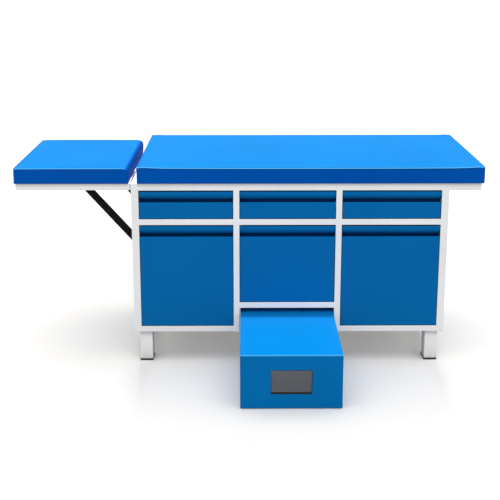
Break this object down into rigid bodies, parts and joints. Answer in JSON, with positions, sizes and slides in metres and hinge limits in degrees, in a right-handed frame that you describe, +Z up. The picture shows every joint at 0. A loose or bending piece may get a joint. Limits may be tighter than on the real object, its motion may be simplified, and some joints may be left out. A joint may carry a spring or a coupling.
{
  "type": "examination table",
  "caption": "Cabinet examination table with a tilting head section, drawers and cupboards in a tube frame, and a pull-out step.",
  "frame": {"origin": "on the floor, midway along the overall length and the overall depth with the step pulled out as in the picture", "axes": "+X to the foot end, to the right as seen from the drawers; -Y towards the person at the drawers; +Z up"},
  "size_m": [1.88, 1.126, 0.831],
  "materials": {
    "frame_paint": "white powder coat, satin",
    "front_paint": "blue powder coat, satin",
    "inner_paint": "pale grey powder coat, matte",
    "vinyl": "smooth blue vinyl, semi-gloss",
    "board_wood": "plain plywood",
    "strut_black": "black paint, satin",
    "zinc_steel": "zinc plated",
    "black_rubber": "matte",
    "slide_plastic": "moulded"
  },
  "bodies": {
    "cabinet": {"post_front_left": "frame_paint", "post_front_middle_left": "frame_paint", "post_front_middle_right": "frame_paint", "post_front_right": "frame_paint", "posts_rear": "frame_paint", "rail_top_front": "frame_paint", "rail_top_rear": "frame_paint", "rail_top_head": "frame_paint", "rail_top_foot": "frame_paint", "rails_top_cross": "frame_paint", "rails_middle_front": "frame_paint", "rail_low_front_left": "frame_paint", "rail_low_front_right": "frame_paint", "rail_niche_front": "frame_paint", "rails_low_rear": "frame_paint", "rails_low_side": "frame_paint", "legs": "frame_paint", "foot_glides": "black_rubber", "side_panel_left": "front_paint", "side_panel_right": "front_paint", "back_panel": "front_paint", "partition_middle_left": "inner_paint", "partition_middle_right": "inner_paint", "cupboard_floors": "inner_paint", "drawer_runners": "zinc_steel", "door_pivot_pins": "zinc_steel", "door_catches": "slide_plastic", "main_board": "board_wood", "main_cushion": "vinyl", "hinge_leaves_fixed": "zinc_steel", "hinge_pins": "zinc_steel", "strut_brackets_low": "strut_black"},
    "head_section": {"head_rail_front": "frame_paint", "head_rail_rear": "frame_paint", "head_rail_end": "frame_paint", "head_rail_hinge": "frame_paint", "head_board": "board_wood", "head_cushion": "vinyl", "hinge_leaves_moving": "zinc_steel", "strut_brackets_high": "strut_black"},
    "front_strut_tube": {"strut_tube_front": "strut_black"},
    "rear_strut_tube": {"strut_tube_rear": "strut_black"},
    "front_strut_bar": {"strut_bar_front": "strut_black"},
    "rear_strut_bar": {"strut_bar_rear": "strut_black"},
    "left_drawer": {"drawer_front_left": "front_paint", "drawer_box_left": "inner_paint", "drawer_slides_left": "slide_plastic"},
    "middle_drawer": {"drawer_front_middle": "front_paint", "drawer_box_middle": "inner_paint", "drawer_slides_middle": "slide_plastic"},
    "right_drawer": {"drawer_front_right": "front_paint", "drawer_box_right": "inner_paint", "drawer_slides_right": "slide_plastic"},
    "left_door": {"door_left": "front_paint"},
    "middle_door": {"door_middle": "front_paint"},
    "right_door": {"door_right": "front_paint"},
    "step": {"step_body": "front_paint", "step_feet": "black_rubber"}
  },
  "joints": [
    {"name": "head_tilt", "type": "hinge", "parent": "cabinet", "child": "head_section", "pos_m": [-0.4772, 0.1655, 0.7675], "axis": [0, 1, 0], "range_deg": [0, 38]},
    {"name": "front_tube_swing", "type": "hinge", "parent": "cabinet", "child": "front_strut_tube", "pos_m": [-0.4635, -0.087, 0.5205], "axis": [0, 1, 0], "range_deg": [0, 14.89]},
    {"name": "front_bar_swing", "type": "hinge", "parent": "head_section", "child": "front_strut_bar", "pos_m": [-0.664, -0.087, 0.748], "axis": [0, 1, 0], "range_deg": [-23.13, 0]},
    {"name": "rear_tube_swing", "type": "hinge", "parent": "cabinet", "child": "rear_strut_tube", "pos_m": [-0.4635, 0.418, 0.5205], "axis": [0, 1, 0], "range_deg": [0, 14.89]},
    {"name": "rear_bar_swing", "type": "hinge", "parent": "head_section", "child": "rear_strut_bar", "pos_m": [-0.664, 0.418, 0.748], "axis": [0, 1, 0], "range_deg": [-23.13, 0]},
    {"name": "left_drawer_slide", "type": "slide", "parent": "cabinet", "child": "left_drawer", "axis": [0, -1, 0], "range_m": [0, 0.38]},
    {"name": "middle_drawer_slide", "type": "slide", "parent": "cabinet", "child": "middle_drawer", "axis": [0, -1, 0], "range_m": [0, 0.38]},
    {"name": "right_drawer_slide", "type": "slide", "parent": "cabinet", "child": "right_drawer", "axis": [0, -1, 0], "range_m": [0, 0.38]},
    {"name": "left_door_swing", "type": "hinge", "parent": "cabinet", "child": "left_door", "pos_m": [-0.4375, -0.122, 0.37325], "axis": [0, 0, -1], "range_deg": [0, 105]},
    {"name": "middle_door_swing", "type": "hinge", "parent": "cabinet", "child": "middle_door", "pos_m": [-0.0325, -0.122, 0.42475], "axis": [0, 0, -1], "range_deg": [0, 105]},
    {"name": "right_door_swing", "type": "hinge", "parent": "cabinet", "child": "right_door", "pos_m": [0.7655, -0.122, 0.37325], "axis": [0, 0, 1], "range_deg": [0, 105]},
    {"name": "step_slide", "type": "slide", "parent": "cabinet", "child": "step", "axis": [0, 1, 0], "range_m": [-0.08, 0.434]}
  ],
  "couplings": [
    {"joint": "front_tube_swing", "follows": "head_tilt", "ratio": 0.39158},
    {"joint": "front_bar_swing", "follows": "head_tilt", "ratio": -0.60842},
    {"joint": "rear_tube_swing", "follows": "head_tilt", "ratio": 0.39158},
    {"joint": "rear_bar_swing", "follows": "head_tilt", "ratio": -0.60842}
  ]
}
